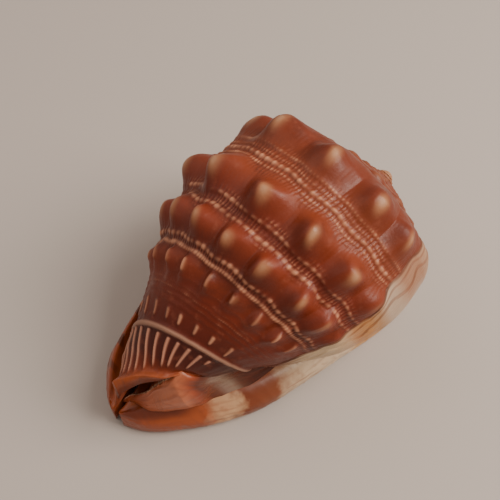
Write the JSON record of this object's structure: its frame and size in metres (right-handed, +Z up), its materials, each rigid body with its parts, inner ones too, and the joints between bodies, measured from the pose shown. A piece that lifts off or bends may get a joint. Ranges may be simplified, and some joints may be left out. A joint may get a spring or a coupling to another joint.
{
  "type": "bullmouth helmet shell",
  "caption": "Heavy knobbed sea shell with a broad body whorl, low spire, narrow toothed aperture and thick ventral shield, lying aperture down.",
  "frame": {"origin": "middle of the bounding box in plan, on the surface on which the shell rests", "axes": "+Y from the siphonal canal towards the apex, +Z up from the ventral shield, -X towards the outer lip"},
  "size_m": [0.1016, 0.1388, 0.0989],
  "materials": {
    "shell": "semi-gloss calcareous shell, red-brown with cream knob tips and an orange to cream shield"
  },
  "bodies": {
    "root": {"helmet_shell": "shell"}
  },
  "joints": []
}
